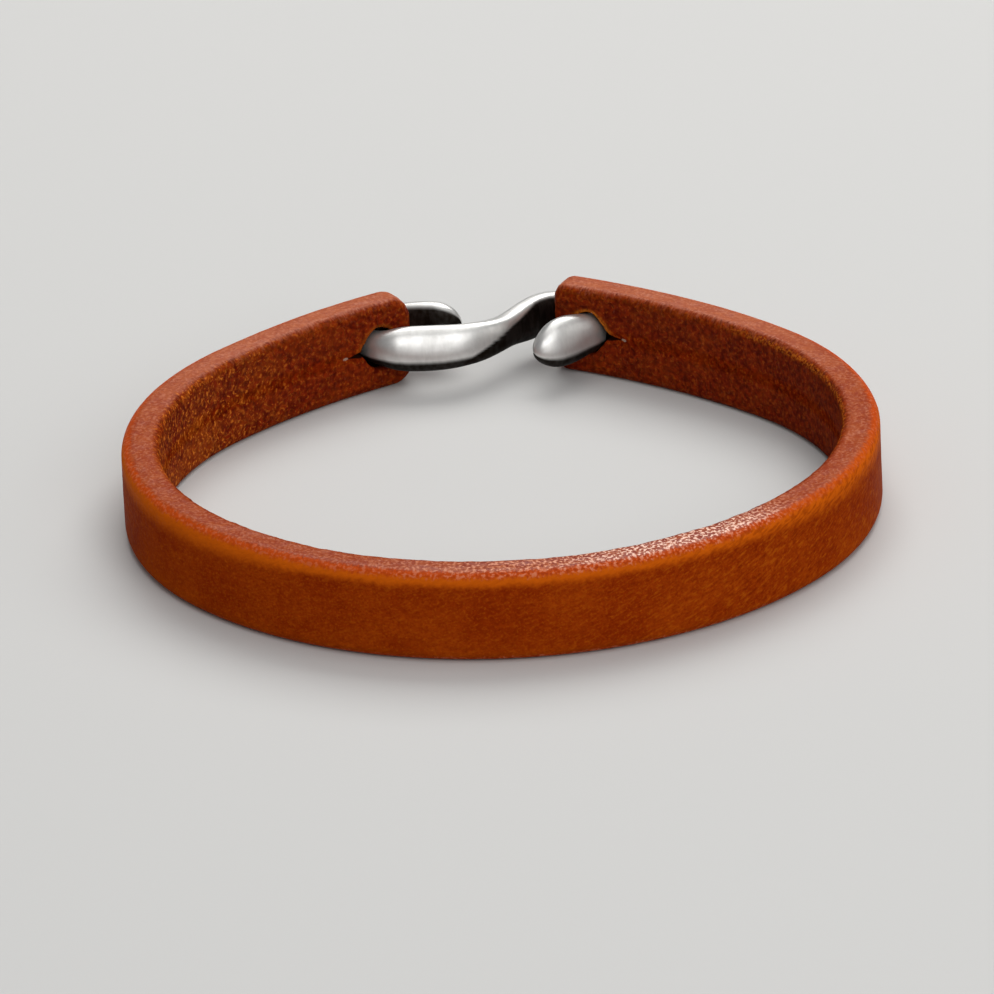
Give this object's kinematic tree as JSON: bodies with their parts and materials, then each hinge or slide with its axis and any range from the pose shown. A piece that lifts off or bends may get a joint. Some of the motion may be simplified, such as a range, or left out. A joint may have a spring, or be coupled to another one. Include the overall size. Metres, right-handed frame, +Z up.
{
  "type": "leather strap bracelet",
  "caption": "Slim thick leather strap bent into a wrist loop, its slit ends joined by a flattened steel S-hook.",
  "frame": {"origin": "middle of the base of the bracelet's box, on the surface that it stands on", "axes": "+Z up out of that surface and across the strap's width, +X to the right seen from the front, +Y from the front of the loop to the clasp"},
  "size_m": [0.0596, 0.0586, 0.0075],
  "materials": {
    "leather": "smooth tan grain outside, suede inside, cut edges",
    "steel": "satin polished"
  },
  "bodies": {
    "root": {"strap": "leather", "s_hook": "steel"}
  },
  "joints": []
}
